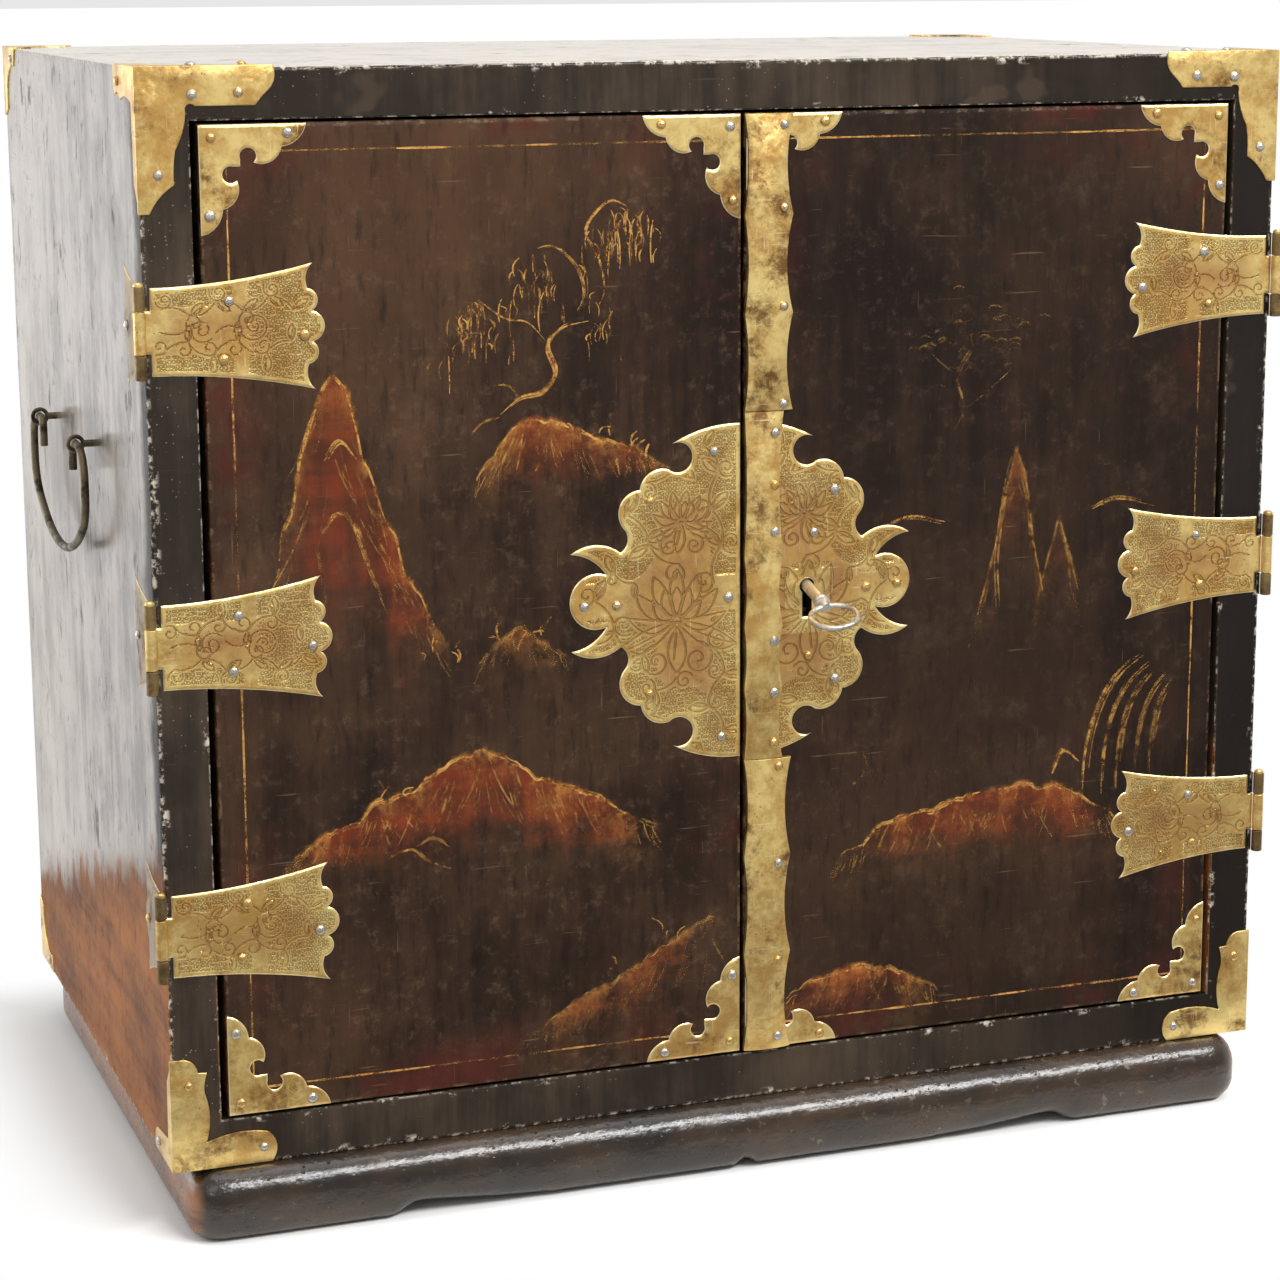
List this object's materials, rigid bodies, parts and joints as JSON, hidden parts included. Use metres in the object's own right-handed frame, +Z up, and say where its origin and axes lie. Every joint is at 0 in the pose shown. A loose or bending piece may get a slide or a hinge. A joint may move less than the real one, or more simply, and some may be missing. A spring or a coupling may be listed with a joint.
{
  "type": "jewellery cabinet",
  "caption": "Small lacquered table cabinet on a plinth, with hinged doors, a lock and key, brass mounts, side bails and drawers inside.",
  "frame": {"origin": "middle of the bounding box, on the ground under the plinth", "axes": "+Z up, -Y out of the doors, +X to the right as seen from the front"},
  "size_m": [0.4718, 0.322, 0.4322],
  "materials": {
    "black_lacquer": "worn black lacquer on wood",
    "door_lacquer": "dark brown lacquer with painted landscape",
    "drawer_wood": "bare softwood",
    "drawer_lacquer": "dark lacquer",
    "engraved_brass": "engraved aged brass",
    "plain_brass": "aged brass sheet",
    "nail_metal": "domed bright nail heads",
    "steel": "worn steel",
    "iron": "dark iron"
  },
  "bodies": {
    "carcass": {"carcass_top": "black_lacquer", "carcass_bottom": "black_lacquer", "carcass_left_side": "black_lacquer", "carcass_right_side": "black_lacquer", "carcass_back": "black_lacquer", "plinth_front": "black_lacquer", "plinth_back": "black_lacquer", "plinth_left": "black_lacquer", "plinth_right": "black_lacquer", "left_lining": "drawer_wood", "right_lining": "drawer_wood", "drawer_upright": "drawer_wood", "drawer_shelves": "drawer_wood", "front_corner_mounts": "plain_brass", "rear_corner_mounts": "plain_brass", "left_hinge_leaves": "plain_brass", "right_hinge_leaves": "plain_brass", "hinge_pins": "plain_brass", "bail_eyes": "iron", "carcass_nails": "nail_metal"},
    "left_door": {"left_door_panel": "door_lacquer", "left_hinge_straps": "engraved_brass", "left_door_corner_mounts": "plain_brass", "left_lock_plate": "engraved_brass", "left_door_nails": "nail_metal", "strike_plate": "plain_brass", "bolt_staples": "plain_brass"},
    "right_door": {"right_door_panel": "door_lacquer", "right_hinge_straps": "engraved_brass", "right_door_corner_mounts": "plain_brass", "right_lock_plate": "engraved_brass", "upper_seam_strip": "plain_brass", "middle_seam_strip": "plain_brass", "lower_seam_strip": "plain_brass", "right_door_nails": "nail_metal", "lock_case": "iron"},
    "upper_door_bolt": {"upper_door_bolt": "plain_brass"},
    "lower_door_bolt": {"lower_door_bolt": "plain_brass"},
    "lock_bolt": {"lock_bolt": "steel"},
    "key": {"key": "steel"},
    "left_bail": {"left_bail": "iron"},
    "right_bail": {"right_bail": "iron"},
    "left_top_drawer": {"left_top_drawer_front": "drawer_lacquer", "left_top_drawer_box": "drawer_wood", "left_top_drawer_knob": "plain_brass"},
    "left_middle_drawer": {"left_middle_drawer_front": "drawer_lacquer", "left_middle_drawer_box": "drawer_wood", "left_middle_drawer_knob": "plain_brass"},
    "left_bottom_drawer": {"left_bottom_drawer_front": "drawer_lacquer", "left_bottom_drawer_box": "drawer_wood", "left_bottom_drawer_knob": "plain_brass"},
    "right_top_drawer": {"right_top_drawer_front": "drawer_lacquer", "right_top_drawer_box": "drawer_wood", "right_top_drawer_knob": "plain_brass"},
    "right_middle_drawer": {"right_middle_drawer_front": "drawer_lacquer", "right_middle_drawer_box": "drawer_wood", "right_middle_drawer_knob": "plain_brass"},
    "right_bottom_drawer": {"right_bottom_drawer_front": "drawer_lacquer", "right_bottom_drawer_box": "drawer_wood", "right_bottom_drawer_knob": "plain_brass"}
  },
  "joints": [
    {"name": "left_door_swing", "type": "hinge", "parent": "carcass", "child": "left_door", "pos_m": [-0.2272, -0.12583, 0.225], "axis": [0, 0, -1], "range_deg": [0, 180]},
    {"name": "right_door_swing", "type": "hinge", "parent": "carcass", "child": "right_door", "pos_m": [0.2272, -0.12583, 0.231], "axis": [0, 0, 1], "range_deg": [0, 180]},
    {"name": "key_turn", "type": "hinge", "parent": "right_door", "child": "key", "pos_m": [0.0265, -0.12463, 0.231], "axis": [0, -0.9659, -0.2588], "range_deg": [0, 165]},
    {"name": "lock_bolt_throw", "type": "slide", "parent": "right_door", "child": "lock_bolt", "axis": [-1, 0, 0], "range_m": [0, 0.007]},
    {"name": "upper_door_bolt_slide", "type": "slide", "parent": "left_door", "child": "upper_door_bolt", "axis": [0, 0, 1], "range_m": [0, 0.008]},
    {"name": "lower_door_bolt_slide", "type": "slide", "parent": "left_door", "child": "lower_door_bolt", "axis": [0, 0, -1], "range_m": [0, 0.008]},
    {"name": "left_bail_lift", "type": "hinge", "parent": "carcass", "child": "left_bail", "pos_m": [-0.232, 0.02537, 0.285], "axis": [0, 1, 0], "range_deg": [0, 120]},
    {"name": "right_bail_lift", "type": "hinge", "parent": "carcass", "child": "right_bail", "pos_m": [0.232, 0.02537, 0.285], "axis": [0, -1, 0], "range_deg": [0, 120]},
    {"name": "left_top_drawer_slide", "type": "slide", "parent": "carcass", "child": "left_top_drawer", "axis": [0, -1, 0], "range_m": [0, 0.135]},
    {"name": "left_middle_drawer_slide", "type": "slide", "parent": "carcass", "child": "left_middle_drawer", "axis": [0, -1, 0], "range_m": [0, 0.135]},
    {"name": "left_bottom_drawer_slide", "type": "slide", "parent": "carcass", "child": "left_bottom_drawer", "axis": [0, -1, 0], "range_m": [0, 0.135]},
    {"name": "right_top_drawer_slide", "type": "slide", "parent": "carcass", "child": "right_top_drawer", "axis": [0, -1, 0], "range_m": [0, 0.135]},
    {"name": "right_middle_drawer_slide", "type": "slide", "parent": "carcass", "child": "right_middle_drawer", "axis": [0, -1, 0], "range_m": [0, 0.135]},
    {"name": "right_bottom_drawer_slide", "type": "slide", "parent": "carcass", "child": "right_bottom_drawer", "axis": [0, -1, 0], "range_m": [0, 0.135]}
  ],
  "couplings": [
    {"joint": "key_turn", "follows": "lock_bolt_throw", "rad_per_m": 411.4},
    {"joint": "left_top_drawer_slide", "follows": "left_door_swing", "m_per_rad": 0.042972},
    {"joint": "left_middle_drawer_slide", "follows": "left_door_swing", "m_per_rad": 0.042972},
    {"joint": "left_bottom_drawer_slide", "follows": "left_door_swing", "m_per_rad": 0.042972},
    {"joint": "right_top_drawer_slide", "follows": "right_door_swing", "m_per_rad": 0.042972},
    {"joint": "right_middle_drawer_slide", "follows": "right_door_swing", "m_per_rad": 0.042972},
    {"joint": "right_bottom_drawer_slide", "follows": "right_door_swing", "m_per_rad": 0.042972}
  ]
}
